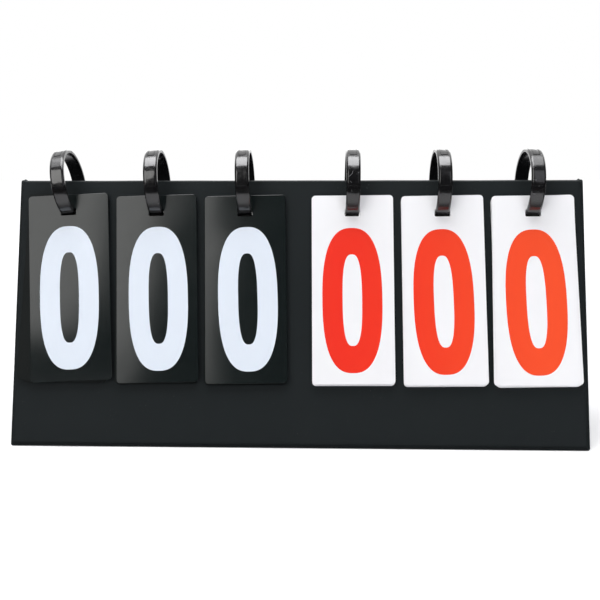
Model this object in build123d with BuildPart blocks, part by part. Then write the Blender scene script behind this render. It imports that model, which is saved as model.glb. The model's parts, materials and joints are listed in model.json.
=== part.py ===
"""Tabletop flip scoreboard: two vinyl-covered leaves in an A-frame, six rings, six sets of number cards.

Row frame: +X to the right as seen from the front, +Y to the rear, +Z up, table at Z = 0.
The fold line of the two leaves is parallel to X and lies in the plane Y = 0. A place on a leaf is
given by its drop down the slope from the fold line and its depth outwards, square to the leaf.
"""

import os
from math import asin, atan2, cos, degrees, hypot, radians, sin, sqrt

from build123d import *

# Leaves: a board between an outer vinyl skin and an inner vinyl lining, welded round the edge
leaf_height = 180.0
leaf_corner = 1.5
board_thickness = 2.0
vinyl = 0.4
weld_border = 2.0
skin_round = 0.9
lean = 16.0  # each leaf leans back by this many degrees
hinge_offset = 2.3  # fold line to the inner face of a leaf
leaf_rise = 0.6  # top edge of a leaf above the fold line

# Soft web over the fold, with the weld ears at its ends
web_thickness = 0.8
web_rise = 0.75
ear_width = 2.2
ear_height = 0.9

# Rings: a flat band with bevelled edges and a lapped snap joint at the top
ring_inner_radius = 21.45
ring_thickness = 2.55
ring_width = 9.35
ring_bevel_width = 1.15
ring_bevel_depth = 0.8
tongue_width = 4.2
snap_start = -10.0  # degrees from the top of the ring, towards the front
snap_end = 35.5
snap_gap = 0.15
snap_tip_gap = 0.75
ring_leans = (7.8, 3.5, 2.1, -0.6, -0.1, -0.7)  # degrees, top to the left is positive

# Number cards: one free card in front of a stack on each ring
card_width = 54.8
card_height = 127.0
card_thickness = 0.3
card_corner = 2.5
stack_corner_clip = 1.6  # the cards behind have clipped corners in place of rounded ones
card_gap = 0.04
top_card_gap = 0.1
stack_count = 9
card_tilts = (2.9, 1.65, 1.15, 0.5, 0.9, 0.7)  # degrees, foot to the right is positive
next_tilts = (2.0, 0.85, 0.65, 0.45, 0.5, 1.65)  # the card right behind the front one
last_tilts = (-1.95, 1.5, 1.2, 0.55, 1.05, -0.1)  # the others lie between these and next_tilts
stack_spread = (0.3, 0.5, 0.2, 0.6, 0.35, 0.1, 0.45, 1.0, 0.0)  # from the leaf outwards
card_spacing = 5.6
middle_spacing = 17.8  # between the left three cards and the right three
side_margin = 8.0  # outer card to the side edge of a leaf

# Slots
card_slot_margin = 9.4  # top edge of a card to its slot
card_slot_side_play = 0.6
card_slot_play = 0.75
hang_plays = (0.6, 0.4, 0.25, 0.25, 0.12, 0.1)  # ring to the top edge of each set's slots
leaf_slot_side_play = 1.5
leaf_slot_play = 0.8

# Base flap: a vinyl sheet from leaf to leaf on the table, held at the rear by hook and loop pads
flap_thickness = 0.8
flap_side_margin = 6.0
flap_front_lip = 9.0
flap_rear_lip = 26.0
flap_bend = 1.6
pad_length = 45.0
pad_height = 18.0
pad_lip_margin = 4.0
hook_thickness = 1.2
loop_thickness = 1.1
pad_gap = 0.2
pad_spacing = 130.0

# Worked out from the sizes above
lean_sin = sin(radians(lean))
lean_cos = cos(radians(lean))
card_pitch = card_width + card_spacing
inner_slot_x = (card_width + middle_spacing) / 2
leaf_width = 2 * (inner_slot_x + 2 * card_pitch + card_width / 2 + side_margin)
leaf_thickness = board_thickness + 2 * vinyl
leaf_face = hinge_offset + leaf_thickness  # fold line to the outer face of a leaf
leaf_drop = leaf_height - leaf_rise  # fold line to the bottom edge, down the slope
fold_z = leaf_drop * lean_cos - hinge_offset * lean_sin
ring_outer_radius = ring_inner_radius + ring_thickness
band_radius = ring_inner_radius + ring_thickness / 2
slot_xs = [side * (inner_slot_x + step * card_pitch) for side, step in
           ((-1, 2), (-1, 1), (-1, 0), (1, 0), (1, 1), (1, 2))]
front_plane = Plane(origin=(0, 0, fold_z), x_dir=(1, 0, 0), z_dir=(0, -lean_cos, lean_sin))
rear_plane = Plane(origin=(0, 0, fold_z), x_dir=(-1, 0, 0), z_dir=(0, lean_cos, lean_sin))


def ring_drop(radius, depth):
    """Drop at which a circle of this radius about the fold line reaches a depth."""
    return sqrt(radius ** 2 - depth ** 2)


def leaf_point(side, depth, drop):
    """(y, z) of a place on the front leaf (side -1) or the rear leaf (side +1)."""
    y = side * (depth * lean_cos + drop * lean_sin)
    return (y, fold_z + depth * lean_sin - drop * lean_cos)


def drop_at_height(depth, z):
    """Drop of the place at this depth that stands z above the table."""
    return (fold_z + depth * lean_sin - z) / lean_cos


# ---- leaves ---------------------------------------------------------------------------------

most_ring_lean = max(abs(angle) for angle in ring_leans)
ring_twist = ring_width / 2 * sin(radians(most_ring_lean))
leaf_slot_top = ring_drop(ring_inner_radius, leaf_face) - ring_twist - leaf_slot_play
leaf_slot_bottom = ring_drop(ring_outer_radius, hinge_offset) + ring_twist + leaf_slot_play


def leaf_sheet(border, top_border=0.0):
    """Outline of a sheet of the leaf, in from its sides and foot by a border."""
    width = leaf_width - 2 * border
    height = leaf_height - border - top_border
    with Locations((0, leaf_rise - top_border - height / 2)):
        Rectangle(width, height)


def leaf_slots():
    """The six slots that the rings pass through."""
    middle = -(leaf_slot_top + leaf_slot_bottom) / 2
    with Locations(*[(x, middle) for x in slot_xs]):
        Rectangle(ring_width + 2 * leaf_slot_side_play, leaf_slot_bottom - leaf_slot_top)


def make_skin(plane, label):
    """Outer vinyl: a tray over the board, with a flat welded border round it."""
    seat = plane.offset(hinge_offset + vinyl)
    with BuildPart() as skin:
        with BuildSketch(seat):
            leaf_sheet(weld_border)
        extrude(amount=board_thickness + vinyl)
        face = skin.faces().sort_by(Axis(plane.origin, plane.z_dir))[-1]
        fillet(face.edges().sort_by(Axis.Z)[:-1], skin_round)
        with BuildSketch(seat) as border:
            leaf_sheet(0.0)
            fillet(border.vertices().sort_by(Axis.Y)[:2], leaf_corner)
        extrude(amount=vinyl)
        with BuildSketch(seat):
            leaf_sheet(weld_border + vinyl, top_border=vinyl)
        extrude(amount=board_thickness, mode=Mode.SUBTRACT)
        with BuildSketch(seat):
            leaf_slots()
        extrude(amount=leaf_thickness, mode=Mode.SUBTRACT)
    skin.part.label = label
    return skin.part


def make_board(plane, label):
    """Stiff board that fills the tray."""
    with BuildPart() as board:
        with BuildSketch(plane.offset(hinge_offset + vinyl)):
            leaf_sheet(weld_border + vinyl, top_border=vinyl)
        extrude(amount=board_thickness)
        with BuildSketch(plane.offset(hinge_offset + vinyl)):
            leaf_slots()
        extrude(amount=board_thickness, mode=Mode.SUBTRACT)
    board.part.label = label
    return board.part


def make_lining(plane, label):
    """Inner vinyl sheet, welded to the skin's border."""
    with BuildPart() as lining:
        with BuildSketch(plane.offset(hinge_offset)) as sheet:
            leaf_sheet(0.0)
            fillet(sheet.vertices().sort_by(Axis.Y)[:2], leaf_corner)
        extrude(amount=vinyl)
        with BuildSketch(plane.offset(hinge_offset)):
            leaf_slots()
        extrude(amount=vinyl, mode=Mode.SUBTRACT)
    lining.part.label = label
    return lining.part


# ---- soft web over the fold -----------------------------------------------------------------


def make_hinge_strip():
    """Arched web from the top edge of one leaf to the other, with an upright ear at each end."""
    outer_y, outer_z = leaf_point(1, leaf_face, -leaf_rise)
    inner_y, inner_z = leaf_point(1, leaf_face - web_thickness, -leaf_rise)
    crown = outer_z + web_rise
    with BuildPart() as strip:
        with BuildSketch(Plane.YZ):
            with BuildLine():
                ThreePointArc((-outer_y, outer_z), (0, crown), (outer_y, outer_z))
                Line((outer_y, outer_z), (inner_y, inner_z))
                ThreePointArc((inner_y, inner_z), (0, crown - web_thickness), (-inner_y, inner_z))
                Line((-inner_y, inner_z), (-outer_y, outer_z))
            make_face()
        extrude(amount=leaf_width / 2, both=True)
        for side in (-1, 1):
            with BuildSketch(Plane.YZ.offset(side * (leaf_width / 2 - ear_width / 2))):
                with BuildLine():
                    ThreePointArc((-outer_y, outer_z), (0, crown + ear_height), (outer_y, outer_z))
                    ThreePointArc((outer_y, outer_z), (0, crown - web_thickness / 2),
                                  (-outer_y, outer_z))
                make_face()
            extrude(amount=ear_width / 2, both=True)
    strip.part.label = "hinge_strip"
    return strip.part


# ---- base flap and its hook and loop pads ---------------------------------------------------

loop_face = hinge_offset - hook_thickness - pad_gap  # depth of the loop pads' rear side
lip_face = loop_face - loop_thickness  # depth of the rear lip's rear side
pad_drop = leaf_drop - flap_rear_lip + pad_lip_margin + pad_height / 2


def make_base_flap():
    """One sheet, with a short lip welded to the front leaf and a tall lip inside the rear leaf."""
    front_lip_drop = leaf_drop - flap_front_lip
    rear_lip_drop = leaf_drop - flap_rear_lip
    front_inner = hinge_offset - flap_thickness
    rear_inner = lip_face - flap_thickness
    outline = [
        leaf_point(-1, hinge_offset, leaf_drop),
        leaf_point(-1, hinge_offset, front_lip_drop),
        leaf_point(-1, front_inner, front_lip_drop),
        leaf_point(-1, front_inner, drop_at_height(front_inner, flap_thickness)),
        leaf_point(1, rear_inner, drop_at_height(rear_inner, flap_thickness)),
        leaf_point(1, rear_inner, rear_lip_drop),
        leaf_point(1, lip_face, rear_lip_drop),
        leaf_point(1, lip_face, drop_at_height(lip_face, 0)),
    ]
    with BuildPart() as flap:
        with BuildSketch(Plane.YZ):
            with BuildLine():
                Polyline(*outline, close=True)
            make_face()
        extrude(amount=leaf_width / 2 - flap_side_margin, both=True)
        along = flap.edges().filter_by(Axis.X)
        inner_bends = along.filter_by(lambda edge: abs(edge.center().Z - flap_thickness) < vinyl / 2)
        fillet(inner_bends, flap_bend)
        low = flap.edges().filter_by(Axis.X).group_by(Axis.Z)[0]
        fillet(low.sort_by(Axis.Y)[-1], flap_bend + flap_thickness)
    flap.part.label = "base_flap"
    return flap.part


def make_pads(depth, thickness, label):
    """Three pads in a row inside the rear leaf, from this depth outwards."""
    with BuildPart() as pads:
        with BuildSketch(rear_plane.offset(depth)):
            with Locations((0, -pad_drop)):
                with GridLocations(pad_spacing, 1, 3, 1):
                    Rectangle(pad_length, pad_height)
        extrude(amount=thickness)
    pads.part.label = label
    return pads.part


# ---- rings ----------------------------------------------------------------------------------

crossing_depth = hinge_offset + leaf_thickness / 2
lean_pivot = ring_drop(band_radius, crossing_depth) * lean_cos - crossing_depth * lean_sin
snap_pivot_gap = degrees(snap_tip_gap / ring_outer_radius)


def ring_placing(index):
    """Centre, axis and upward direction of a ring that leans about its slots."""
    angle = radians(ring_leans[index])
    up = Vector(-sin(angle), 0, cos(angle))
    centre = Vector(slot_xs[index], 0, fold_z - lean_pivot) + up * lean_pivot
    return centre, Vector(cos(angle), 0, sin(angle)), up


def sector(placing, start, arc, outline, mode):
    """Turns an outline of (radius, offset along the axis) points about a ring's axis."""
    centre, axis, up = placing
    radial = up * cos(radians(start)) + Vector(0, -1, 0) * sin(radians(start))
    with BuildSketch(Plane(origin=centre, x_dir=radial, z_dir=radial.cross(axis))) as section:
        with BuildLine():
            Polyline(*outline, close=True)
        make_face()
    revolve(section.sketch, axis=Axis(centre, axis), revolution_arc=arc, mode=mode)


def rectangle(low_radius, high_radius, low_offset, high_offset):
    """Corners of a rectangle in a ring's section."""
    return [(low_radius, low_offset), (high_radius, low_offset),
            (high_radius, high_offset), (low_radius, high_offset)]


def band_section():
    """Half of the band's outline, mirrored to the whole."""
    half = ring_width / 2
    upper = [
        (ring_inner_radius, half),
        (ring_outer_radius - ring_bevel_depth, half),
        (ring_outer_radius, half - ring_bevel_width),
    ]
    return upper + [(radius, -offset) for radius, offset in reversed(upper)]


def make_ring(index):
    """Band with a tongue that laps over the other end at the top, where the ring snaps open."""
    placing = ring_placing(index)
    label = f"ring_{index + 1}"
    half_tongue = tongue_width / 2
    beyond = ring_outer_radius + 1
    arc = snap_end - snap_start
    with BuildPart() as ring:
        sector(placing, 0, 360, band_section(), Mode.ADD)
        sector(placing, snap_start, arc,
               rectangle(band_radius - snap_gap, band_radius, -half_tongue, half_tongue), Mode.SUBTRACT)
        for side in (-1, 1):
            wall = rectangle(band_radius - snap_gap, beyond, side * half_tongue,
                             side * (half_tongue + snap_gap))
            sector(placing, snap_start, arc, wall, Mode.SUBTRACT)
            cheek = rectangle(ring_inner_radius - 1, beyond, side * half_tongue, side * ring_width)
            sector(placing, snap_start - snap_pivot_gap, snap_pivot_gap, cheek, Mode.SUBTRACT)
        sector(placing, snap_start - snap_pivot_gap, snap_pivot_gap,
               rectangle(ring_inner_radius - 1, band_radius, -half_tongue, half_tongue), Mode.SUBTRACT)
        sector(placing, snap_end - snap_pivot_gap, snap_pivot_gap,
               rectangle(band_radius - snap_gap, beyond, -half_tongue, half_tongue), Mode.SUBTRACT)
    ring.part.label = label
    return ring.part


# ---- number cards ---------------------------------------------------------------------------

most_twist = max(abs(lean - tilt) for tilts in (card_tilts, next_tilts, last_tilts)
                 for lean, tilt in zip(ring_leans, tilts))
card_slot_height = ring_thickness + ring_width * sin(radians(most_twist)) + card_slot_play
card_slot_width = ring_width + 2 * card_slot_side_play
top_card_depth = leaf_face + top_card_gap + stack_count * (card_thickness + card_gap) + top_card_gap


def make_card(index, depth, tilt):
    """One card whose back lies at this depth and whose slot hangs on the ring."""
    twist = radians(abs(ring_leans[index] - tilt))
    catch = ring_drop(ring_inner_radius, depth + card_thickness) - hang_plays[index]
    slot_top = catch - ring_width / 2 * sin(twist)
    along = Vector(cos(radians(tilt)), lean_sin * sin(radians(tilt)), lean_cos * sin(radians(tilt)))
    hang = front_plane.offset(depth).from_local_coords(Vector(slot_xs[index], -slot_top))
    with BuildPart() as card:
        with BuildSketch(Plane(origin=hang, x_dir=along, z_dir=front_plane.z_dir)) as outline:
            with Locations((0, card_slot_margin - card_height / 2)):
                Rectangle(card_width, card_height)
            if depth == top_card_depth:
                fillet(outline.vertices(), card_corner)
            else:
                chamfer(outline.vertices(), stack_corner_clip)
            with Locations((0, -card_slot_height / 2)):
                Rectangle(card_slot_width, card_slot_height, mode=Mode.SUBTRACT)
        extrude(amount=card_thickness)
    return card.part


def make_top_card(index):
    """The front card of a ring."""
    card = make_card(index, top_card_depth, card_tilts[index])
    card.label = f"card_{index + 1}"
    return card


def make_card_stack(index):
    """The cards behind the front card, each a solid of its own."""
    cards = []
    for step in range(stack_count):
        depth = leaf_face + top_card_gap + step * (card_thickness + card_gap)
        tilt = next_tilts[index] + stack_spread[step] * (last_tilts[index] - next_tilts[index])
        cards.append(make_card(index, depth, tilt).solid())
    return Compound(label=f"card_stack_{index + 1}", children=cards)


# ---- assembly -------------------------------------------------------------------------------


def all_parts():
    """Every sub-part, labelled and in place."""
    parts = [
        make_skin(front_plane, "front_skin"),
        make_board(front_plane, "front_board"),
        make_lining(front_plane, "front_lining"),
        make_skin(rear_plane, "rear_skin"),
        make_board(rear_plane, "rear_board"),
        make_lining(rear_plane, "rear_lining"),
        make_hinge_strip(),
        make_base_flap(),
        make_pads(hinge_offset - hook_thickness, hook_thickness, "hook_pads"),
        make_pads(lip_face, loop_thickness, "loop_pads"),
    ]
    for index in range(len(slot_xs)):
        parts += [make_ring(index), make_card_stack(index), make_top_card(index)]
    return parts


os.makedirs("parts", exist_ok=True)
for part in all_parts():
    export_step(part, f"parts/{part.label}.step")
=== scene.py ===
"""Looks of a tabletop flip scoreboard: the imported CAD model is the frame, and every piece rides on it.

Lengths are written in millimetres and turned into metres where points are made. A place on a leaf is
given by x, its depth outwards from the fold line and its drop down the slope from the fold line.
"""

import json
from math import acos, asin, copysign, cos, degrees, pi, radians, sin, sqrt, tau

import bmesh
import bpy
import numpy as np
from mathutils import Euler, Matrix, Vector


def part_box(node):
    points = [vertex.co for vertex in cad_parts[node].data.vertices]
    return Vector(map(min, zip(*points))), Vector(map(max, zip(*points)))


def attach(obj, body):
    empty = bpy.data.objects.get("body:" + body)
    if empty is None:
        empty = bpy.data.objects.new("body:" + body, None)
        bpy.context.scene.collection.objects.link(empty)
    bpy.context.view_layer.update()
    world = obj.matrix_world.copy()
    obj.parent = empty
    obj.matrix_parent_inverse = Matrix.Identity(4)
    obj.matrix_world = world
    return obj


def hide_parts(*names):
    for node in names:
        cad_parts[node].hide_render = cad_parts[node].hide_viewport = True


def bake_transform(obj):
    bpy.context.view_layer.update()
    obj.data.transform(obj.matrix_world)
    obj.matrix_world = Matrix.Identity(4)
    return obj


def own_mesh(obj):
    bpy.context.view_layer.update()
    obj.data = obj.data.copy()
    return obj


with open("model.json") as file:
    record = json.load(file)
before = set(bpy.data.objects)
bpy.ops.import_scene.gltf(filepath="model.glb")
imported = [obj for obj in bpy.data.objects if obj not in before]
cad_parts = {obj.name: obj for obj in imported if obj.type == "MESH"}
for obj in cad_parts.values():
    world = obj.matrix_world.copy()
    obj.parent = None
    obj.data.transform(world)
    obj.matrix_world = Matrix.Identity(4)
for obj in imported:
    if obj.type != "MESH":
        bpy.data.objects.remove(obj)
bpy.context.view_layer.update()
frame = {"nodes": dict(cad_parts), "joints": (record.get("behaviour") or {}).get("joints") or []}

MM = 0.001

# ---- sizes, as in the part's source, and the small roundings that only the looks have --------

leaf_height = 180.0
leaf_corner = 1.5
board_thickness = 2.0
vinyl = 0.4
weld_border = 2.0
hinge_offset = 2.3
leaf_rise = 0.6
leaf_slot_half = 6.175
leaf_slot_drops = (19.4, 25.324)
web_thickness = 0.8
web_rise = 0.75
ear_width = 2.2
ear_height = 0.9

ring_inner_radius = 21.45
ring_thickness = 2.55
ring_width = 9.35
ring_bevel_width = 1.15
ring_bevel_depth = 0.8
tongue_width = 4.2
snap_start = -10.0
snap_end = 35.5
snap_gap = 0.15
snap_tip_gap = 0.75

card_width = 54.8
card_height = 127.0
card_thickness = 0.3
card_corner = 2.5
card_gap = 0.04
top_card_gap = 0.1
card_spacing = 5.6
middle_spacing = 17.8
stack_count = 9
card_tilts = (2.9, 1.65, 1.15, 0.5, 0.9, 0.7)
next_tilts = (2.0, 0.85, 0.65, 0.45, 0.5, 1.65)
last_tilts = (-1.95, 1.5, 1.2, 0.55, 1.05, -0.1)
stack_spread = (0.3, 0.5, 0.2, 0.6, 0.35, 0.1, 0.45, 1.0, 0.0)
card_slot_margin = 9.4
card_slot_half = 5.275
card_slot_height = 4.88
card_slot_corner = 0.9
hang_plays = (0.6, 0.4, 0.25, 0.25, 0.12, 0.1)

flap_thickness = 0.8
flap_side_margin = 6.0
flap_front_lip = 9.0
flap_rear_lip = 26.0
flap_bend = 1.6  # inside of the bend
flap_corner = 4.0
pad_length = 45.0
pad_height = 18.0
pad_lip_margin = 4.0
pad_corner = 2.0
hook_thickness = 1.2
loop_thickness = 1.1
pad_gap = 0.2
pad_spacing = 130.0

# ---- places read from the frame -------------------------------------------------------------

joints = {joint["name"]: joint for joint in frame["joints"]}
fold_z = joints["leaf_fold"]["pos_m"][2] / MM
lean = radians(-joints["leaf_fold"]["range_deg"][0] / 2)
lean_sin, lean_cos = sin(lean), cos(lean)
leaf_width = (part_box("front_lining")[1][0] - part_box("front_lining")[0][0]) / MM
leaf_thickness = board_thickness + 2 * vinyl
leaf_face = hinge_offset + leaf_thickness
leaf_drop = leaf_height - leaf_rise
ring_outer_radius = ring_inner_radius + ring_thickness
top_card_depth = leaf_face + top_card_gap + stack_count * (card_thickness + card_gap) + top_card_gap
rings = range(6)
slot_centres = [round(side * ((card_width + middle_spacing) / 2 + step * (card_width + card_spacing)), 1)
                for side, step in ((-1, 2), (-1, 1), (-1, 0), (1, 0), (1, 1), (1, 2))]


def leaf_point(side, x, depth, drop):
    """A place on the front leaf (side -1) or the rear leaf (side +1)."""
    return (x, side * (depth * lean_cos + drop * lean_sin),
            fold_z + depth * lean_sin - drop * lean_cos)


def drop_at_height(depth, z):
    """Drop of the place at this depth that stands z above the table."""
    return (fold_z + depth * lean_sin - z) / lean_cos


def ring_frame(index):
    """Centre, axis and upward direction of a ring."""
    joint = joints[f"ring_turn_{index + 1}"]
    axis = -Vector(joint["axis"])
    return Vector(joint["pos_m"]) / MM, axis, Vector((-axis.z, 0, axis.x))


# ---- mesh building --------------------------------------------------------------------------


def spread(stops, most):
    """Lines through all the stops, with no gap above the most."""
    lines = []
    for low, high in zip(stops, stops[1:]):
        count = max(1, round((high - low) / most + 0.49))
        lines += [low + (high - low) * step / count for step in range(count)]
    return lines + [stops[-1]]


def shell(outer, inner, keep=None, closed=False):
    """Closed solid between two grids of points, with holes where keep is False."""
    outer, inner = np.array(outer, float), np.array(inner, float)
    rows, columns = outer.shape[0] - 1, outer.shape[1] - 1
    if keep is None:
        keep = np.ones((rows, columns), bool)
    points = np.concatenate([outer.reshape(-1, 3), inner.reshape(-1, 3)])
    layer = (rows + 1) * (columns + 1)
    faces = []
    for i, j in np.argwhere(keep):
        first = i * (columns + 1) + j
        corners = [first, first + 1, first + columns + 2, first + columns + 1]
        faces += [corners, [layer + corner for corner in reversed(corners)]]
        for k, (a, b) in enumerate(((i - 1, j), (i, j + 1), (i + 1, j), (i, j - 1))):
            if closed:
                a %= rows
            if not (0 <= a < rows and 0 <= b < columns and keep[a, b]):
                p, q = corners[k], corners[(k + 1) % 4]
                faces.append([q, p, layer + p, layer + q])
    return points, faces


def tube(sections):
    """Closed solid through a row of sections with the same number of points."""
    sections = np.array(sections, float)
    count, around = sections.shape[:2]
    faces = [list(range(around)), list(range((count - 1) * around, count * around))]
    for i in range(count - 1):
        for j in range(around):
            near, far = i * around + j, i * around + (j + 1) % around
            faces.append([near, far, far + around, near + around])
    return sections.reshape(-1, 3), faces


def piece(name, solids, smooth=32.0):
    """One object from solids in millimetres, with its place in its mesh."""
    points, faces = [], []
    for solid_points, solid_faces in solids:
        start = len(points)
        points += [tuple(point) for point in np.array(solid_points, float) * MM]
        faces += [[start + int(corner) for corner in face] for face in solid_faces]
    mesh = bpy.data.meshes.new(name)
    mesh.from_pydata(points, [], faces)
    work = bmesh.new()
    work.from_mesh(mesh)
    bmesh.ops.remove_doubles(work, verts=work.verts, dist=1e-7)
    bmesh.ops.delete(work, geom=[v for v in work.verts if not v.link_faces], context="VERTS")
    bmesh.ops.recalc_face_normals(work, faces=work.faces)
    work.to_mesh(mesh)
    work.free()
    mesh.shade_smooth()
    mesh.set_sharp_from_angle(angle=radians(smooth))
    made = bpy.data.objects.new(name, mesh)
    bpy.context.scene.collection.objects.link(made)
    return made


def dress(made, material, body=None, stands_for=None):
    """Gives a piece its material, the body it rides on and the node it stands for."""
    made.data.materials.append(material)
    if body:
        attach(made, body)
    if stands_for:
        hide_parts(stands_for)
    return made


def rounded(x, y, left, right, low, high, radius):
    """Maps a rectangle's points so that its corners become round."""
    u = max(0.0, (x - (right - radius)) / radius, ((left + radius) - x) / radius)
    v = max(0.0, (y - (high - radius)) / radius, ((low + radius) - y) / radius)
    if u <= 0 or v <= 0:
        return x, y
    across = 1 if x > (left + right) / 2 else -1
    up = 1 if y > (low + high) / 2 else -1
    x_core = right - radius if across > 0 else left + radius
    y_core = high - radius if up > 0 else low + radius
    return (x_core + across * radius * u * sqrt(1 - v * v / 2),
            y_core + up * radius * v * sqrt(1 - u * u / 2))


# ---- materials ------------------------------------------------------------------------------


class Value:
    """A socket of a material's node tree. Python's operators add maths nodes to the tree."""

    def __init__(self, surface, socket):
        self.surface = surface
        self.socket = socket

    def maths(self, operation, *inputs):
        return self.surface.node("ShaderNodeMath", {"operation": operation}, inputs)

    def __add__(self, other):
        return self.maths("ADD", self, other)

    __radd__ = __add__

    def __sub__(self, other):
        return self.maths("SUBTRACT", self, other)

    def __rsub__(self, other):
        return self.maths("SUBTRACT", other, self)

    def __mul__(self, other):
        return self.maths("MULTIPLY", self, other)

    __rmul__ = __mul__

    def ramp(self, low, high):
        """0 below low, 1 above high, and smooth between them."""
        return self.surface.node("ShaderNodeMapRange", {"interpolation_type": "SMOOTHSTEP"},
                                 {"Value": self, "From Min": low, "From Max": high})


class Surface:
    """A material with one Principled shader, whose method adds any other node."""

    def __init__(self, name, **uniform):
        self.material = bpy.data.materials.new(name)
        self.material.use_nodes = True
        self.tree = self.material.node_tree
        self.shader = self.tree.nodes["Principled BSDF"]
        for socket, value in uniform.items():
            self.feed(self.shader.inputs[socket.replace("_", " ")], value)
        self.place = self.node("ShaderNodeTexCoord", output="Object")

    def node(self, kind, settings=None, inputs=(), output=0):
        node = self.tree.nodes.new(kind)
        for name, value in (settings or {}).items():
            setattr(node, name, value)
        for key, value in (inputs.items() if isinstance(inputs, dict) else enumerate(inputs)):
            self.feed(node.inputs[key], value)
        return Value(self, node.outputs[output])

    def feed(self, socket, value):
        if isinstance(value, Value):
            self.tree.links.new(value.socket, socket)
        else:
            socket.default_value = value

    def noise(self, scale, detail=2.0, stretch=None, roughness=0.5):
        """Noise of this many waves a metre, stretched by a factor for each axis."""
        place = self.place
        if stretch:
            place = self.node("ShaderNodeMapping", None, {"Vector": place, "Scale": stretch})
        return self.node("ShaderNodeTexNoise", None, {"Vector": place, "Scale": scale, "Detail": detail,
                                                      "Roughness": roughness})

    def mix(self, factor, first, second):
        return self.node("ShaderNodeMix", {"data_type": "RGBA"}, {0: factor, 6: first, 7: second}, 2)

    def bump(self, height, distance, strength=1.0):
        """Relief of this height in metres."""
        normal = self.node("ShaderNodeBump", None, {"Strength": strength, "Distance": distance,
                                                    "Height": height})
        self.feed(self.shader.inputs["Normal"], normal)

    def colour(self, value):
        self.feed(self.shader.inputs["Base Color"], value)

    def rough(self, value):
        self.feed(self.shader.inputs["Roughness"], value)


def rgb(red, green, blue):
    return (red, green, blue, 1.0)


def cover_vinyl(name, grain_waves, low, high):
    """Soft black vinyl with a fine grain, faint mottling and dust."""
    surface = Surface(name, Specular_IOR_Level=0.08)
    grain = surface.noise(grain_waves, 3.0)
    wave = surface.noise(28.0, 2.0)
    dust = surface.noise(900.0, 1.0).ramp(0.73, 0.78) * surface.noise(60.0, 2.0).ramp(0.45, 0.7)
    tone = surface.mix(surface.noise(14.0, 3.0), low, high)
    surface.colour(surface.mix(dust * 0.35, tone, rgb(0.12, 0.12, 0.12)))
    surface.rough(0.46 + grain * 0.16 + wave * 0.06)
    surface.bump(grain * 0.05 + wave, 0.0006)
    return surface.material


def ring_plastic(name, marks=()):
    """Glossy black plastic with scuffs and fine scratches. A mark is its two ends and its half width."""
    surface = Surface(name, IOR=1.5, Coat_Weight=0.8, Coat_Roughness=0.06)
    smudge = surface.noise(160.0, 3.0)
    fine = surface.noise(900.0, 2.0, (1.0, 6.0, 6.0))
    scratch = surface.noise(420.0, 1.0, (1.0, 0.22, 2.4)).ramp(0.70, 0.73)
    scratch = scratch * surface.noise(120.0, 1.0).ramp(0.52, 0.62)
    for start, end, half_width in marks:
        scratch = scratch.maths("MAXIMUM", scratch, scored_line(surface, start, end, half_width))
    surface.colour(surface.mix(scratch, rgb(0.006, 0.006, 0.0065), rgb(0.10, 0.10, 0.105)))
    surface.rough(0.13 + smudge * 0.12 + fine * 0.06 + scratch * 0.3)
    surface.bump(surface.noise(110.0, 2.0) + scratch * -0.06 + fine * 0.02, 0.0005)
    return surface.material


def scored_line(surface, start, end, half_width):
    """1 on a line between two places (x, z) on a ring's front, in millimetres, and 0 beside it."""
    x, z = ((surface.node("ShaderNodeSeparateXYZ", None, [surface.place], axis) - low * MM) * (1 / MM)
            for axis, low in (("X", start[0]), ("Z", start[1])))
    run, rise = end[0] - start[0], end[1] - start[1]
    along = (x * run + z * rise) * (1 / (run * run + rise * rise))
    along = along.maths("MINIMUM", along.maths("MAXIMUM", along, 0.0), 1.0)
    off_x, off_z = x - along * run, z - along * rise
    off = off_x * off_x + off_z * off_z
    return 1.0 - off.ramp(0.4 * half_width ** 2, half_width ** 2)


def card_plastic(name, base, shade, roughness, gloss=0.5, bend=None):
    """Satin plastic card with a slightly wavy face. A bend is its bow, its foot's curl and its twist."""
    surface = Surface(name, Specular_IOR_Level=gloss)
    surface.colour(surface.mix(surface.noise(40.0, 3.0), base, shade))
    surface.rough(roughness + surface.noise(90.0, 3.0) * 0.08)
    relief = surface.noise(16.0, 1.0) + surface.noise(2600.0, 2.0) * 0.001
    if bend:
        bow, foot_curl, twist = bend
        over_card = surface.node("ShaderNodeUVMap", {"uv_map": "over_card"})
        across = surface.node("ShaderNodeSeparateXYZ", None, [over_card], "X")
        up = surface.node("ShaderNodeSeparateXYZ", None, [over_card], "Y")
        curl = up.maths("MINIMUM", up, 0.0)
        relief = relief - across * across * bow - curl * curl * foot_curl + across * up * twist
    surface.bump(relief, 0.0012)
    return surface.material


def print_ink(name, left, right):
    """Satin printing ink with a little uneven tone, whose colour runs from the left tone to the right tone
    along the row of cards; the red is painted lighter towards the right, as painted light from the right.
    """
    surface = Surface(name, Specular_IOR_Level=0.3)
    along = surface.node("ShaderNodeSeparateXYZ", None, [surface.place])
    # painted light: the right tone, used towards the right-hand cards, stands in for the brighter light
    # falling there
    surface.colour(surface.mix(along.ramp(0.02, 0.19) + surface.noise(120.0, 3.0) * 0.1, left, right))
    surface.rough(0.36 + surface.noise(300.0, 2.0) * 0.1)
    surface.bump(surface.noise(16.0, 1.0) + surface.noise(1800.0, 2.0) * 0.002, 0.0012)
    return surface.material


def pressed_board():
    """Raw grey board with flecks and pressed layers along its edges."""
    surface = Surface("pressed_board")
    fibre = surface.noise(700.0, 4.0, (1.0, 3.0, 3.0))
    fleck = surface.noise(1500.0, 1.0).ramp(0.66, 0.72)
    tone = surface.mix(fibre, rgb(0.20, 0.185, 0.165), rgb(0.36, 0.335, 0.30))
    surface.colour(surface.mix(fleck * 0.6, tone, rgb(0.08, 0.075, 0.07)))
    surface.rough(0.85 + fibre * 0.1)
    surface.bump(fibre, 0.0001)
    return surface.material


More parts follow.
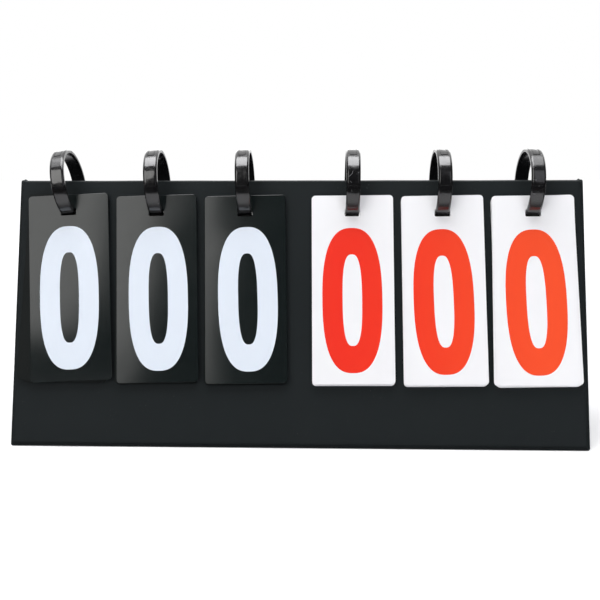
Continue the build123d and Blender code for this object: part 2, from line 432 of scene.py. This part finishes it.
def tape(name, waves, relief):
    """Woven tape whose face is covered with hooks or loops."""
    surface = Surface(name)
    cells = surface.node("ShaderNodeTexVoronoi", None, {"Vector": surface.place, "Scale": waves})
    surface.colour(surface.mix(cells, rgb(0.035, 0.035, 0.037), rgb(0.008, 0.008, 0.009)))
    surface.rough(0.7 + cells * 0.2)
    surface.bump(1.0 - cells, relief)
    return surface.material


cover = cover_vinyl("cover_vinyl", 2600.0, rgb(0.0118, 0.0149, 0.0158), rgb(0.0144, 0.0176, 0.0186))
lining = cover_vinyl("lining_vinyl", 1500.0, rgb(0.022, 0.023, 0.0235), rgb(0.030, 0.031, 0.0315))
grey_board = pressed_board()
hook_tape = tape("hook_tape", 1300.0, 0.0004)
loop_tape = tape("loop_tape", 2400.0, 0.0003)
gloss = ring_plastic("ring_plastic")
scored_gloss = ring_plastic("scored_ring_plastic", [
    ((33.4, 177.3), (35.6, 179.4), 0.16), ((35.6, 179.4), (36.1, 181.0), 0.14),
    ((34.3, 174.5), (35.2, 173.6), 0.16), ((35.3, 168.8), (35.5, 167.7), 0.16)])
black_bends = ((0.6, 19.0, 1.2), (0.8, 5.0, 1.5), (0.8, 2.5, -0.3))
black_cards = [card_plastic(f"black_card_{number}", rgb(0.005, 0.0085, 0.0085), rgb(0.007, 0.0105, 0.0105),
                            0.19, bend=bend) for number, bend in enumerate(black_bends, 1)]
# painted shade: the cards behind the black front cards are darker and duller than the front cards,
# standing in for the shade in the narrow gaps between the cards
shaded_black_card_behind = card_plastic("shaded_black_card_behind", rgb(0.0035, 0.0050, 0.0050),
                                 rgb(0.0050, 0.0070, 0.0070), 0.36, gloss=0.1)
white_card = card_plastic("white_card", rgb(0.835, 0.84, 0.855), rgb(0.85, 0.85, 0.865), 0.38, gloss=0.3)
white_ink = print_ink("white_print", rgb(0.71, 0.77, 0.85), rgb(0.71, 0.77, 0.85))
# the right red is lighter: painted light on the right-hand cards
red_ink = print_ink("red_print", rgb(0.82, 0.023, 0.009), rgb(0.87, 0.072, 0.016))

# ---- leaves ---------------------------------------------------------------------------------

# (distance in from the edge, height over the seat) of the cover's outer face, then of its inner face
border_profile = [
    (0.0, 0.20, 0.0, 0.02), (0.06, 0.33, 0.1, 0.0), (0.2, 0.40, 0.3, 0.0), (0.85, 0.40, 0.85, 0.0),
    (0.95, 0.33, 0.95, 0.0), (1.2, 0.31, 1.2, 0.0), (1.45, 0.33, 1.45, 0.0), (1.55, 0.42, 1.55, 0.0),
    (1.85, 0.46, 1.85, 0.0), (2.0, 0.62, 2.1, 0.0), (2.03, 1.0, 2.4, 0.0), (2.08, 1.4, 2.4, 0.9),
    (2.22, 1.8, 2.4, 1.5), (2.5, 2.12, 2.45, 1.9), (2.9, 2.3, 2.5, 2.0), (3.5, 2.385, 3.2, 2.0),
    (4.5, 2.4, 4.5, 2.0),
]
top_profile = [(0.0, 2.4, 0.0, 0.0), (0.15, 2.4, 0.4, 0.0), (0.4, 2.4, 0.4, 2.0)]
slot_step = 0.5  # lines this close round a slot
slot_press = 0.28  # share of the cover's thickness that is pressed in round a slot
leaf_step = 4.0  # lines this close elsewhere
cover_wave, lining_wave = 0.06, 0.05


def leaf_wave(x, drop):
    """Slight unevenness of a stretched sheet, from -1 to 1."""
    return 0.5 * (sin(x * 0.031 + 1.3) * sin(drop * 0.047 + 0.6) + sin(x * 0.083 + drop * 0.029 + 2.0))


def leaf_grid(border, top):
    """Lines over a leaf: (position, outer height, inner position, inner height) along x and drop."""
    half = leaf_width / 2
    flat_out, flat_in = border[-1][1], border[-1][3]
    inset = border[-1][0]
    stops = [-half + inset]
    for x in slot_centres:
        stops += [x - leaf_slot_half - slot_step, x - leaf_slot_half, x + leaf_slot_half,
                  x + leaf_slot_half + slot_step]
    stops.append(half - inset)
    middle = [(x, flat_out, x, flat_in) for x in spread(stops, leaf_step)][1:-1]
    columns = ([(-half + e, h, -half + f, g) for e, h, f, g in border] + middle
               + [(half - e, h, half - f, g) for e, h, f, g in reversed(border)])
    stops = [top[-1][0] - leaf_rise, leaf_slot_drops[0] - slot_step, *leaf_slot_drops,
             leaf_slot_drops[1] + slot_step, leaf_drop - inset]
    middle = [(drop, flat_out, drop, flat_in) for drop in spread(stops, leaf_step)][1:-1]
    rows = ([(e - leaf_rise, h, f - leaf_rise, g) for e, h, f, g in top] + middle
            + [(leaf_drop - e, h, leaf_drop - f, g) for e, h, f, g in reversed(border)])
    return columns, rows


def in_slot(x, drop):
    """Whether a place lies in or on the edge of a slot."""
    return (any(abs(x - centre) < leaf_slot_half + 1e-6 for centre in slot_centres)
            and leaf_slot_drops[0] - 1e-6 < drop < leaf_slot_drops[1] + 1e-6)


def leaf_sheet(side, border, top, seat, turn, wave):
    """A sheet of a leaf: seat is the depth of height 0, and turn +1 or -1 the way its height runs."""
    columns, rows = leaf_grid(border, top)
    half = leaf_width / 2
    far_above = -leaf_rise - 40  # only the corners at the foot are round

    def place(x, drop, depth):
        x, drop = rounded(x, drop, -half, half, far_above, leaf_drop, leaf_corner)
        return leaf_point(side, x, depth, drop)

    outer, inner = [], []
    for drop, high, drop_in, high_in in rows:
        outer_row, inner_row = [], []
        for x, rise, x_in, rise_in in columns:
            height = min(high, rise)
            if in_slot(x, drop):
                height -= slot_press * vinyl
            relief = wave * leaf_wave(x, drop) if height >= border[-1][1] else 0.0
            outer_row.append(place(x, drop, seat + turn * (height - max(0.0, relief))))
            inner_row.append(place(x_in, drop_in, seat + turn * min(high_in, rise_in)))
        outer.append(outer_row)
        inner.append(inner_row)
    keep = np.array([[not in_slot((a[0] + b[0]) / 2, (c[0] + d[0]) / 2)
                      for a, b in zip(columns, columns[1:])] for c, d in zip(rows, rows[1:])])
    return shell(outer, inner, keep)


# (distance in from the edge, height of the free face, then the same for the glued face)
lining_profile = [(0.0, 0.2, 0.0, 0.02), (0.08, 0.35, 0.1, 0.0), (0.25, 0.4, 0.3, 0.0),
                  (0.8, 0.4, 0.8, 0.0), (0.92, 0.3, 0.92, 0.0), (1.55, 0.3, 1.55, 0.0),
                  (1.7, 0.4, 1.7, 0.0), (3.0, 0.4, 3.0, 0.0)]
lining_top = [(0.0, 0.4, 0.0, 0.0), (0.3, 0.4, 0.3, 0.0)]


def make_leaf(side, leaf):
    """The cover and the lining of one leaf, and the finish of the board between them."""
    seat = hinge_offset + vinyl
    skin = piece(f"{leaf}_cover", [leaf_sheet(side, border_profile, top_profile, seat, 1, cover_wave)])
    dress(skin, cover, f"{leaf}_leaf", f"{leaf}_skin")
    sheet = piece(f"{leaf}_inner_sheet",
                  [leaf_sheet(side, lining_profile, lining_top, seat, -1, lining_wave)])
    dress(sheet, lining, f"{leaf}_leaf", f"{leaf}_lining")
    board = frame["nodes"][f"{leaf}_board"]
    board.data.materials.clear()
    board.data.materials.append(grey_board)


make_leaf(-1, "front")
make_leaf(1, "rear")

# ---- soft web over the fold -----------------------------------------------------------------

arch_steps = 28
end_press = 0.12  # how far the very end is pressed down


def make_web():
    """Arched web between the top edges of the leaves, with an upright ear at each end."""
    half = leaf_width / 2
    end = ear_width + 8
    lines = spread([0, 0.5, 1.5, weld_border - 0.1, ear_width, ear_width + 1.5, end], 0.5)
    lines = ([-half + e for e in lines] + spread([-half + end, half - end], leaf_step)[1:-1]
             + [half - e for e in reversed(lines)])
    outer, inner = [], []
    for x in lines:
        from_end = half - abs(x)
        face = hinge_offset + 2 * vinyl if from_end < weld_border else leaf_face  # it is welded flat
        _, edge_y, edge_z = leaf_point(1, 0, face, -leaf_rise)
        _, under_y, under_z = leaf_point(1, 0, face - web_thickness, -leaf_rise)
        ear = ear_height * (1 if from_end <= ear_width else
                            max(0.0, 1 - (from_end - ear_width) / 1.2) ** 2)
        outer_row, inner_row = [], []
        wave = 0.07 * sin(x * 0.11 + 0.8) * sin(x * 0.037) - end_press * max(0.0, 1 - from_end / 0.5)
        for step in range(arch_steps + 1):
            across = -1 + 2 * step / arch_steps
            arch = 1 - across ** 2
            outer_row.append((x, across * edge_y, edge_z + (web_rise + ear + wave) * arch))
            inner_row.append((x, across * under_y,
                              under_z + (edge_z - under_z + web_rise - web_thickness) * arch))
        outer.append(outer_row)
        inner.append(inner_row)
    web = piece("fold_web", [shell(outer, inner)])
    dress(web, cover, stands_for="hinge_strip")
    _, edge_y, edge_z = leaf_point(1, 0, leaf_face, -leaf_rise)
    -edge_y * MM
    edge_z * MM
    edge_y * MM
    edge_z * MM
    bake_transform(web)


make_web()

# ---- base flap, hook and loop pads ----------------------------------------------------------

loop_face = hinge_offset - hook_thickness - pad_gap
lip_face = loop_face - loop_thickness
pad_drop = leaf_drop - flap_rear_lip + pad_lip_margin + pad_height / 2
front_foot = tuple(value * MM for value in leaf_point(-1, 0, hinge_offset, leaf_drop))
bend_steps = 9


def bent_path(corners, radius, most):
    """Points along a path of straight runs with rounded corners, each with its direction."""
    path = []
    start = np.array(corners[0], float)
    for before, corner, after in zip(corners, corners[1:], corners[2:]):
        corner = np.array(corner, float)
        run_in = (corner - before) / np.linalg.norm(corner - np.array(before))
        run_out = (after - corner) / np.linalg.norm(np.array(after) - corner)
        turn = acos(float(run_in @ run_out))
        cut = radius * np.tan(turn / 2)
        path += straight(start, corner - cut * run_in, most)
        side = run_out - run_in * float(run_out @ run_in)
        side /= np.linalg.norm(side)
        centre = corner - cut * run_in + radius * side
        for step in range(1, bend_steps):
            angle = turn * step / bend_steps
            at = centre - radius * side * cos(angle) + radius * run_in * sin(angle)
            path.append((at, run_in * cos(angle) + side * sin(angle)))
        start = corner + cut * run_out
    return path + straight(start, np.array(corners[-1], float), most)


def straight(start, end, most):
    """Points along a straight run, each with its direction."""
    length = np.linalg.norm(end - start)
    return [(start + (end - start) * at / length, (end - start) / length)
            for at in spread([0.0, length], most)]


def make_flap():
    """One vinyl sheet from the front leaf's foot over the table and up inside the rear leaf."""
    half_thick = flap_thickness / 2
    front_depth = hinge_offset - half_thick
    rear_depth = lip_face - half_thick
    corners = [leaf_point(-1, 0, front_depth, leaf_drop - flap_front_lip)[1:],
               leaf_point(-1, 0, front_depth, drop_at_height(front_depth, half_thick))[1:],
               leaf_point(1, 0, rear_depth, drop_at_height(rear_depth, half_thick))[1:],
               leaf_point(1, 0, rear_depth, leaf_drop - flap_rear_lip)[1:]]
    path = bent_path(corners, flap_bend + half_thick, 2.5)
    half = leaf_width / 2 - flap_side_margin
    columns = spread([-half, -half + 1, half - 1, half], 5.0)
    travelled = [0.0]
    for (before, _), (after, _) in zip(path, path[1:]):
        travelled.append(travelled[-1] + float(np.linalg.norm(after - before)))
    length = travelled[-1]
    flat_start, flat_length = 14, length - 52  # between the lips
    upper, lower = [], []
    for (at, way), along in zip(path, travelled):
        up = np.array([-way[1], way[0]])
        sag = max(0.0, sin(pi * min(1.0, max(0.0, (along - flat_start) / flat_length))))
        upper_row, lower_row = [], []
        for column in columns:
            x, _ = rounded(column, along, -half, half, 0.0, length, flap_corner)
            wave = 0.35 * sag * (1 + sin(x * 0.052 + 1.1) * sin(along * 0.06 + x * 0.013))
            y, z = at + up * (wave + half_thick)
            upper_row.append((x, y, z))
            y, z = at + up * (wave - half_thick)
            lower_row.append((x, y, z))
        upper.append(upper_row)
        lower.append(lower_row)
    flap = piece("flap", [shell(upper, lower)])
    dress(flap, lining, "front_leaf", "base_flap")
    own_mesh(flap)


pad_step = 0.75
pad_ease = 0.12  # how far the faces of a pad fall at its edge
pad_ease_width = 0.6


def make_pads(name, low, high):
    """Three pads with rounded corners and slightly raised middles inside the rear leaf."""
    solids = []
    half_length, half_height = pad_length / 2, pad_height / 2
    across = spread([-half_length, -half_length + pad_corner, half_length - pad_corner, half_length],
                    pad_step)
    down = spread([-half_height, -half_height + pad_corner, half_height - pad_corner, half_height],
                  pad_step)
    for middle in (-pad_spacing, 0.0, pad_spacing):
        layers = []
        for depth, inwards in ((low, 1), (high, -1)):
            layer = []
            for v in down:
                line = []
                for u in across:
                    edge = min(half_length - abs(u), half_height - abs(v))
                    ease = pad_ease * max(0.0, 1 - edge / pad_ease_width) ** 2
                    x, drop = rounded(u, v, -half_length, half_length, -half_height, half_height,
                                      pad_corner)
                    line.append(leaf_point(1, middle + x, depth + inwards * ease, pad_drop + drop))
                layer.append(line)
            layers.append(layer)
        solids.append(shell(*layers))
    return piece(name, solids)


hooks = make_pads("hook_tape_pads", hinge_offset - hook_thickness, hinge_offset)
dress(hooks, hook_tape, "rear_leaf", "hook_pads")
loops = make_pads("loop_tape_pads", lip_face, loop_face)
dress(loops, loop_tape, "front_leaf", "loop_pads")
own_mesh(loops)
make_flap()

# ---- rings ----------------------------------------------------------------------------------

band_radius = ring_inner_radius + ring_thickness / 2
turn_step = 1.5  # degrees between the sections of a ring
touch = 0.002  # left between the parts of a ring's section, so that they aren't merged


def band_half():
    """One half of the band's section, from the middle of its inner face to its outer one."""
    half = ring_width / 2
    slope_start = (ring_outer_radius - ring_bevel_depth, half)
    slope_end = (ring_outer_radius, half - ring_bevel_width)
    return [(ring_inner_radius, tongue_width / 2), (ring_inner_radius, half - 0.45),
            (ring_inner_radius + 0.04, half - 0.2), (ring_inner_radius + 0.16, half - 0.05),
            (ring_inner_radius + 0.36, half), (slope_start[0] - 0.2, slope_start[1]),
            (slope_start[0] - 0.02, slope_start[1] - 0.03),
            (slope_start[0] + 0.14, slope_start[1] - 0.17),
            (slope_end[0] - 0.12, slope_end[1] + 0.2), (slope_end[0] - 0.03, slope_end[1]),
            (ring_outer_radius, slope_end[1] - 0.3), (ring_outer_radius, tongue_width / 2 + 0.4)]


def both_halves(upper):
    """A whole section from its upper half."""
    return upper + [(radius, -offset) for radius, offset in reversed(upper)]


def full_section():
    return both_halves(band_half() + [(ring_outer_radius, tongue_width / 2)])


def receiver_section():
    """The band with a channel for the tongue."""
    wall = tongue_width / 2 + snap_gap
    floor = band_radius - snap_gap
    return both_halves(band_half() + [(ring_outer_radius - 0.03, wall + 0.08),
                                      (ring_outer_radius - 0.12, wall), (floor, wall)])


def tongue_section():
    half = tongue_width / 2
    return both_halves([(band_radius, half), (ring_outer_radius - 0.12, half),
                        (ring_outer_radius - 0.03, half - 0.09), (ring_outer_radius, half - 0.25)])


def make_ring(index):
    """A band that snaps shut with a tongue in a channel at its top."""
    centre, axis, up = ring_frame(index)
    front = Vector((0, -1, 0))
    tip = degrees(snap_tip_gap / ring_outer_radius)
    seam = degrees(touch / ring_outer_radius)

    def arc(section, start, end):
        sections = []
        for angle in spread([start, end], turn_step):
            radial = up * cos(radians(angle)) + front * sin(radians(angle))
            sections.append([tuple(centre + radial * radius + axis * offset)
                             for radius, offset in section])
        return tube(sections)

    ring = piece(f"snap_ring_{index + 1}",
                 [arc(full_section(), snap_end, snap_start - tip + 360),
                  arc(receiver_section(), snap_start, snap_end - seam),
                  arc(tongue_section(), snap_start - tip + seam, snap_end - tip)], smooth=24.0)
    dress(ring, scored_gloss if index == 3 else gloss, f"ring_{index + 1}",
          f"ring_{index + 1}")


for index in rings:
    make_ring(index)

# ---- number cards ---------------------------------------------------------------------------

digit_height = 97.4
digit_width = 40.0
digit_power = 2.55  # 2 is an ellipse, and more is squarer
hole_height = 61.4
hole_width = 13.0
hole_power = 2.75
digit_drop = 71.0  # top edge of a card to the middle of its number
oval_steps = 144
ink = 0.02
rim_width = 0.2
black_rim_depth = 0.13
fine_lines, coarse_lines = 3.0, 12.0  # most between the lines of a front card and of one behind it
corner_step = 0.6
slot_corner_step = 0.25


class CardFrame:
    """The plane of one card: its hang point under the ring, and its directions."""

    def __init__(self, index, depth, tilt):
        centre_x = slot_centres[index]
        twist = abs(radians(ring_lean(index) - tilt))
        catch = sqrt(ring_inner_radius ** 2 - (depth + card_thickness) ** 2) - hang_plays[index]
        slot_top = catch - ring_width / 2 * sin(twist)
        turn = radians(tilt)
        self.hang = np.array(leaf_point(-1, centre_x, depth, slot_top))
        self.along = np.array([cos(turn), lean_sin * sin(turn), lean_cos * sin(turn)])
        self.out = np.array([0, -lean_cos, lean_sin])
        self.up = np.cross(self.out, self.along)

    def point(self, x, y, height):
        return tuple(self.hang + self.along * x + self.up * y + self.out * height)


def ring_lean(index):
    """How far a ring leans to the side, in degrees."""
    axis = ring_frame(index)[1]
    return degrees(asin(axis.z))


def slot_edge(x, y):
    """Rounds the corners of a card's slot, for points on its edge."""
    across = card_slot_half - abs(x)
    near = min(-y, y + card_slot_height)
    if not (-1e-6 < across < card_slot_corner + 1e-6 and -1e-6 < near < card_slot_corner + 1e-6
            and min(across, near) < 1e-6):
        return x, y
    angle = radians(45 + 45 * (across - near) / card_slot_corner)
    x_core = card_slot_half - card_slot_corner
    y_core = -card_slot_corner if -y < y + card_slot_height else card_slot_corner - card_slot_height
    way = 1 if -y < y + card_slot_height else -1
    return ((x_core + card_slot_corner * cos(angle)) * (1 if x > 0 else -1),
            y_core + way * card_slot_corner * sin(angle))


def card_solid(place, most, rim_depth=0.0):
    """A card with round corners and its slot, and a rim that may be eased to this depth."""
    half = card_width / 2
    top, foot = card_slot_margin, card_slot_margin - card_height
    ease = card_slot_corner
    stops = [-half, -half + card_corner, -card_slot_half, -card_slot_half + ease]
    columns = sorted({*spread([*stops, *(-x for x in reversed(stops))], most),
                      *spread([-half, -half + card_corner], corner_step),
                      *spread([half - card_corner, half], corner_step),
                      *spread([-card_slot_half, -card_slot_half + ease], slot_corner_step),
                      *spread([card_slot_half - ease, card_slot_half], slot_corner_step)})
    rows = sorted({*spread([foot, foot + card_corner], corner_step),
                   *spread([foot + card_corner, -card_slot_height], most),
                   *spread([-card_slot_height, ease - card_slot_height], slot_corner_step),
                   *spread([ease - card_slot_height, -ease], most),
                   *spread([-ease, 0.0], slot_corner_step),
                   *spread([0.0, top - card_corner], most),
                   *spread([top - card_corner, top], corner_step)})
    if rim_depth:
        columns = sorted({*columns, -half + rim_width, half - rim_width})
        rows = sorted({*rows, foot + rim_width, top - rim_width})
    front, back = [], []
    for y in rows:
        front_row, back_row = [], []
        for x in columns:
            u, v = rounded(x, y, -half, half, foot, top, card_corner)
            u, v = slot_edge(u, v)
            on_rim = x in (columns[0], columns[-1]) or y in (rows[0], rows[-1])
            front_row.append(place.point(u, v, card_thickness - (rim_depth if on_rim else 0.0)))
            back_row.append(place.point(u, v, 0.0))
        front.append(front_row)
        back.append(back_row)
    keep = np.array([[not (abs(a + b) / 2 < card_slot_half and -card_slot_height < (c + d) / 2 < 0)
                      for a, b in zip(columns, columns[1:])] for c, d in zip(rows, rows[1:])])
    return shell(front, back, keep)


def map_card(card, place):
    """UV map from a card's middle: -1 to 1 from side to side, and -0.5 to 0.5 from foot to top."""
    layer = card.data.uv_layers.new(name="over_card")
    for loop in card.data.loops:
        offset = np.array(card.data.vertices[loop.vertex_index].co) / MM - place.hang
        layer.data[loop.index].uv = (offset @ place.along / (card_width / 2),
                                     0.5 + (offset @ place.up - card_slot_margin) / card_height)


def oval(width, height, power):
    """Points round a superellipse."""
    points = []
    for step in range(oval_steps + 1):
        c, s = cos(tau * step / oval_steps), sin(tau * step / oval_steps)
        points.append((copysign(width / 2 * abs(s) ** (2 / power), s),
                       copysign(height / 2 * abs(c) ** (2 / power), c)))
    return points


def zero_solid(place, shift, drop, turn):
    """The printed number 0, moved and turned a little on its card."""
    c, s = cos(radians(turn)), sin(radians(turn))
    loops = [oval(digit_width, digit_height, digit_power), oval(hole_width, hole_height, hole_power)]
    middle = card_slot_margin - digit_drop - drop
    layers = []
    for height in (card_thickness + ink, card_thickness):
        layers.append([[place.point(shift + c * x - s * y, middle + s * x + c * y, height)
                        for x, y in pair] for pair in zip(*loops)])
    return shell(*layers, closed=True)


def one_solid(place):
    """The printed number 1: a stem as wide as the strokes of 0, with a flag."""
    middle = card_slot_margin - digit_drop
    top = digit_height / 2
    outline = [(12.5, -top), (12.5, top), (2.0, top), (-2.0, top - 9.0), (-12.5, top - 15.5),
               (-12.5, top - 28.0), (-1.0, top - 22.5), (-1.0, -top)]
    points = [place.point(x, middle + y, height) for height in (card_thickness, card_thickness + ink)
              for x, y in outline]
    around = len(outline)
    sides = [[at, (at + 1) % around, (at + 1) % around + around, at + around] for at in range(around)]
    return points, [list(range(around)), list(range(around, 2 * around)), *sides]


def digit_solid(place, number):
    """A printed number from 2 to 9 in plain condensed figures."""
    text = bpy.data.curves.new("figure", "FONT")
    text.body = str(number)
    text.extrude = 0.5
    text.offset = 0.035  # thickens the strokes
    text.resolution_u = 6
    holder = bpy.data.objects.new("figure", text)
    mesh = bpy.data.meshes.new_from_object(holder)
    points = np.array([vertex.co for vertex in mesh.vertices])
    faces = [list(polygon.vertices) for polygon in mesh.polygons]
    bpy.data.objects.remove(holder)
    bpy.data.meshes.remove(mesh)
    bpy.data.curves.remove(text)
    low, high = points.min(axis=0), points.max(axis=0)
    points = (points - (low + high) / 2) / (high - low) * (digit_width, digit_height, ink)
    middle = card_slot_margin - digit_drop
    return [place.point(x, middle + y, card_thickness + ink / 2 + z) for x, y, z in points], faces


# where each front card's number is printed off its middle: right, down, turned in degrees
digit_places = ((-0.3, -0.5, -0.3), (1.0, -0.5, 0.5), (1.5, -0.6, 0.9),
                (-0.5, 0.0, 0.3), (-0.6, 0.6, 1.0), (0.2, 0.8, 1.45))


def make_card_set(index):
    """The front card of a ring with its printed 0, and the stack behind it with the other numbers."""
    number = index + 1
    plastic, stack_plastic, ink_colour = (
        (black_cards[index], shaded_black_card_behind, white_ink) if index < 3
        else (white_card, white_card, red_ink))
    place = CardFrame(index, top_card_depth, card_tilts[index])
    card = piece(f"front_card_{number}",
                 [card_solid(place, fine_lines, black_rim_depth if index < 3 else 0.0)])
    dress(card, plastic, f"card_{number}", f"card_{number}")
    map_card(card, place)
    zero = piece(f"front_card_{number}_zero", [zero_solid(place, *digit_places[index])])
    dress(zero, ink_colour, f"card_{number}")
    cards, figures = [], []
    for step in range(stack_count):
        depth = leaf_face + top_card_gap + step * (card_thickness + card_gap)
        tilt = next_tilts[index] + stack_spread[step] * (last_tilts[index] - next_tilts[index])
        place = CardFrame(index, depth, tilt)
        cards.append(card_solid(place, coarse_lines))
        figure = stack_count - step
        figures.append(one_solid(place) if figure == 1 else digit_solid(place, figure))
    stack = piece(f"cards_behind_{number}", cards)
    dress(stack, stack_plastic, "front_leaf", f"card_stack_{number}")
    printed = piece(f"cards_behind_{number}_figures", figures)
    dress(printed, ink_colour, "front_leaf")


for index in rings:
    make_card_set(index)

# ---- floor, lights and camera ---------------------------------------------------------------


def light_path(surface, kind):
    """1 for the rays of a kind, such as Camera, and 0 for the others."""
    return surface.node("ShaderNodeLightPath", output=f"Is {kind} Ray")


def aimed(way, height, reach):
    """A place at this bearing and elevation, in degrees, from the middle of the front."""
    return (reach * sin(radians(way)) * cos(radians(height)),
            -reach * cos(radians(way)) * cos(radians(height)), 0.11 + reach * sin(radians(height)))


def make_stage(name, points, faces, material):
    """A sheet that isn't part of the object."""
    mesh = bpy.data.meshes.new(name)
    mesh.from_pydata(points, [], faces)
    mesh.materials.append(material)
    made = bpy.data.objects.new(name, mesh)
    bpy.context.scene.collection.objects.link(made)
    return made


def make_floor():
    """Pale floor that is lifted to white where it is seen, and keeps the object's shadow.

    Mirrored in the rings, the strip of it under the object is painted dark, as painted shade of the object
    on the floor.
    """
    surface = Surface("floor", Roughness=0.9, Specular_IOR_Level=0.1, Emission_Strength=1.0)
    away = surface.node("ShaderNodeVectorMath", {"operation": "LENGTH"}, [surface.place], "Value")
    far = away.ramp(0.3, 1.6)
    mirrored = light_path(surface, "Glossy") + light_path(surface, "Transmission")
    # painted shade: in reflections the floor is given a dark colour in a strip under the object
    behind = surface.node("ShaderNodeSeparateXYZ", None, [surface.place], "Y")
    under = 1.0 - behind.maths("ABSOLUTE", behind).ramp(0.05, 0.14)
    surface.colour(surface.mix(light_path(surface, "Glossy") * under,
                               rgb(0.78, 0.78, 0.79), rgb(0.1, 0.1, 0.1)))
    lift = light_path(surface, "Camera") * (0.35 + far * 0.65) + mirrored * far
    surface.feed(surface.shader.inputs["Emission Color"],
                 surface.mix(lift, rgb(0, 0, 0), rgb(1, 1, 1)))
    size = 8.0
    make_stage("floor", [(-size, -size, 0), (size, -size, 0), (size, size, 0), (-size, size, 0)],
               [(0, 1, 2, 3)], surface.material)


def make_flags():
    """Black screens round the front and on the floor that keep the dark faces dark, as in a studio."""
    surface = Surface("flag", Roughness=1.0, Specular_IOR_Level=0.0)
    surface.colour(rgb(0.003, 0.003, 0.003))
    reach = 3.2
    ways, heights = spread([-105.0, 105.0], 10.0), spread([-1.5, 61.0], 10.0)
    points = [aimed(way, height, reach) for height in heights for way in ways]
    wide = len(ways)
    faces = [(at, at + 1, at + 1 + wide, at + wide) for at in range(len(points) - wide)
             if (at + 1) % wide]
    just_over = 0.0005
    low_points = [(x, y, just_over) for y in (-reach, -0.34, 0.3) for x in (-reach, -0.45, 0.45, reach)]
    low_faces = [(at, at + 1, at + 5, at + 4) for at in (0, 1, 2, 4, 6)]  # open under the object
    for flag in (make_stage("flag", points, faces, surface.material),
                 make_stage("low_flag", low_points, low_faces, surface.material)):
        flag.visible_camera = flag.visible_shadow = flag.visible_diffuse = False


def make_world():
    """White where the camera or a reflection sees it, and a soft grey light on the object."""
    world = bpy.data.worlds.new("world")
    world.use_nodes = True
    bpy.context.scene.world = world
    tree = world.node_tree
    path = tree.nodes.new("ShaderNodeLightPath")
    seen = tree.nodes.new("ShaderNodeMath")
    seen.operation = "MAXIMUM"
    tree.links.new(path.outputs["Is Camera Ray"], seen.inputs[0])
    reflected = tree.nodes.new("ShaderNodeMath")
    reflected.operation = "MAXIMUM"
    tree.links.new(path.outputs["Is Glossy Ray"], reflected.inputs[0])
    tree.links.new(path.outputs["Is Transmission Ray"], reflected.inputs[1])
    tree.links.new(reflected.outputs[0], seen.inputs[1])
    tone = tree.nodes.new("ShaderNodeMix")
    tone.data_type = "RGBA"
    tree.links.new(seen.outputs[0], tone.inputs[0])
    tone.inputs[6].default_value = rgb(0.16, 0.16, 0.165)
    tone.inputs[7].default_value = rgb(1.0, 1.0, 1.0)
    tree.links.new(tone.outputs[2], tree.nodes["Background"].inputs["Color"])


def softbox(name, place, target, width, height, glow, colour):
    """A large soft lamp, whose face is this many times as bright as white."""
    lamp = bpy.data.lights.new(name, "AREA")
    lamp.shape = "RECTANGLE"
    lamp.size, lamp.size_y = width, height
    lamp.energy = glow * pi * width * height
    lamp.color = colour
    made = bpy.data.objects.new(name, lamp)
    bpy.context.scene.collection.objects.link(made)
    made.location = place
    made.rotation_euler = (Vector(target) - Vector(place)).to_track_quat("-Z", "Y").to_euler()
    return made


make_floor()
make_flags()
make_world()

scene = bpy.context.scene
scene.view_settings.view_transform = "Standard"
picture_width = 600
camera = bpy.data.cameras.new("camera")
camera.lens = 46.2
camera.shift_x = 2.0 / picture_width
camera.shift_y = 11.6 / picture_width
viewer = bpy.data.objects.new("camera", camera)
scene.collection.objects.link(viewer)
viewer.location = (0.016012, -0.537455, 0.185248)
viewer.rotation_euler = Euler((radians(79.1877), radians(0.1173), radians(1.7824)))
scene.camera = viewer

front_middle = (0.0, -0.02, 0.11)
softbox("key_softbox", aimed(-34, 27, 2.6), front_middle, 1.5, 1.75, 2.9, (1.0, 0.99, 0.97))
softbox("fill_softbox", aimed(30, 26, 1.4), front_middle, 0.5, 0.85, 0.9, (0.93, 0.93, 1.0))
softbox("rear_softbox", aimed(180, 24, 1.5), front_middle, 1.6, 0.6, 1.2, (1.0, 1.0, 1.0))
right_feet = (0.16, -0.05, 0.06)
low_fill = softbox("low_fill", (0.28, -0.27, 0.03), right_feet, 0.2, 0.05, 2.4, (1.0, 1.0, 1.0))
low_fill.visible_camera = low_fill.visible_glossy = False
top_y, top_height, top_depth = -0.155, 1.2, 0.69
for name, x, width, glow in (("top_softbox", -0.09, 0.85, 6.5), ("top_left_softbox", -0.69, 0.35, 2.3),
                             ("top_right_softbox", 0.51, 0.35, 2.3)):
    softbox(name, (x, top_y, top_height), (x, top_y, 0.0), width, top_depth, glow, (0.98, 0.98, 1.0))
